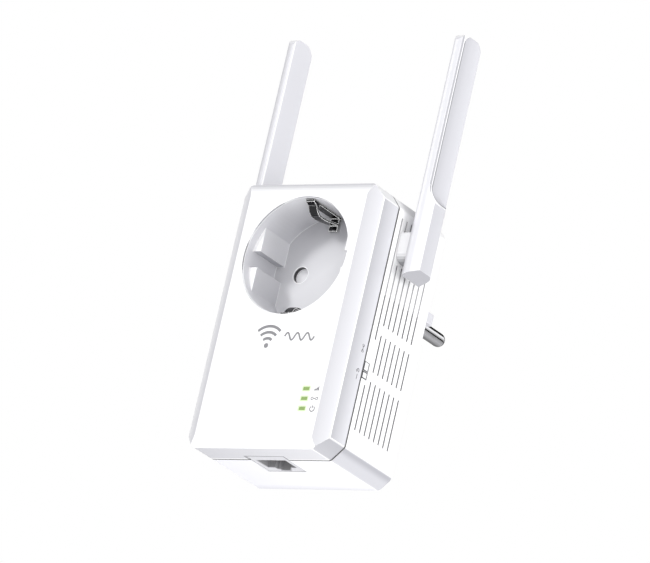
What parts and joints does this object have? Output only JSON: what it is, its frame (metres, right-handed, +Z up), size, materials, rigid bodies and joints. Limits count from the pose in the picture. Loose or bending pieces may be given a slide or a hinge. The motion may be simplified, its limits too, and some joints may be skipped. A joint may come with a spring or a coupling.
{
  "type": "wifi range extender",
  "caption": "Plug-in wireless repeater with a pass-through earthed socket, folding side antennas, status lights, side buttons and a network port.",
  "frame": {"origin": "midway between the two plug pins, on the end face of the plug body", "axes": "+Z up as installed on a wall, -Y out of the front of the housing, +Y along the plug pins into the wall, +X to the viewer's right"},
  "size_m": [0.075, 0.0752, 0.1509],
  "materials": {
    "white_shell": "fine satin white moulding",
    "recess_plastic": "satin pale grey moulding",
    "plug_plastic": "satin white moulding",
    "panel_plastic": "satin light grey moulding",
    "dark_plastic": "matt black moulding",
    "grey_plastic": "matt grey moulding",
    "pin_metal": "nickel plated",
    "spring_steel": "plated spring strip",
    "contact_brass": "bare stamped strip",
    "gold_contact": "gold plated wire",
    "board_green": "solder mask over glass laminate",
    "board_tan": "paper laminate",
    "shield_tin": "tinned sheet",
    "transformer_wrap": "tape wrap over ferrite",
    "can_sleeve": "heat-shrunk sleeve",
    "fuse_body": "glazed",
    "cable_jacket": "matt jacket",
    "screw_steel": "zinc plated",
    "led_lens": "clear lens",
    "light_green": "translucent, lit green"
  },
  "bodies": {
    "housing": {"front_cover": "white_shell", "rear_shell": "white_shell", "socket_cup": "recess_plastic", "shutter_spring": "spring_steel", "contact_carrier": "grey_plastic", "line_contact": "contact_brass", "neutral_contact": "contact_brass", "earth_strap": "spring_steel", "plug_body": "plug_plastic", "plug_pin_line": "pin_metal", "plug_pin_neutral": "pin_metal", "plug_earth_contact": "pin_metal", "main_board": "board_green", "main_chip": "dark_plastic", "rf_shield": "shield_tin", "ethernet_jack": "grey_plastic", "jack_contacts": "gold_contact", "lan_transformer": "dark_plastic", "status_leds": "led_lens", "light_guide": "light_green", "wps_switch": "dark_plastic", "reset_switch": "dark_plastic", "power_board": "board_tan", "mains_transformer": "transformer_wrap", "filter_capacitors": "can_sleeve", "mains_fuse": "fuse_body", "bridge_rectifier": "dark_plastic", "board_link": "dark_plastic", "friction_washers": "spring_steel", "coax_left": "cable_jacket", "coax_right": "cable_jacket", "housing_screws": "screw_steel", "board_screws": "screw_steel"},
    "antenna_left": {"antenna_arm_left": "white_shell", "antenna_panel_left": "panel_plastic", "antenna_element_left": "board_green", "hinge_shaft_left": "grey_plastic", "hinge_clip_left": "spring_steel"},
    "antenna_right": {"antenna_arm_right": "white_shell", "antenna_panel_right": "panel_plastic", "antenna_element_right": "board_green", "hinge_shaft_right": "grey_plastic", "hinge_clip_right": "spring_steel"},
    "wps_key": {"wps_button": "white_shell", "wps_plunger": "grey_plastic"},
    "reset_key": {"reset_button": "white_shell", "reset_plunger": "grey_plastic"},
    "shutter": {"safety_shutter": "recess_plastic"}
  },
  "joints": [
    {"name": "antenna_left_hinge", "type": "hinge", "parent": "housing", "child": "antenna_left", "pos_m": [-0.0284, -0.03555, 0.01005], "axis": [1, 0, 0], "range_deg": [0, 180]},
    {"name": "antenna_right_hinge", "type": "hinge", "parent": "housing", "child": "antenna_right", "pos_m": [0.0284, -0.03555, 0.01005], "axis": [1, 0, 0], "range_deg": [0, 180]},
    {"name": "wps_press", "type": "slide", "parent": "housing", "child": "wps_key", "axis": [-1, 0, 0], "range_m": [0, 0.0005], "stiffness_N_per_m": 800},
    {"name": "reset_press", "type": "slide", "parent": "housing", "child": "reset_key", "axis": [-1, 0, 0], "range_m": [0, 0.0005], "stiffness_N_per_m": 800},
    {"name": "shutter_slide", "type": "slide", "parent": "housing", "child": "shutter", "axis": [0, 0, 1], "range_m": [0, 0.0066], "stiffness_N_per_m": 60, "deforming": ["shutter_spring"]}
  ]
}
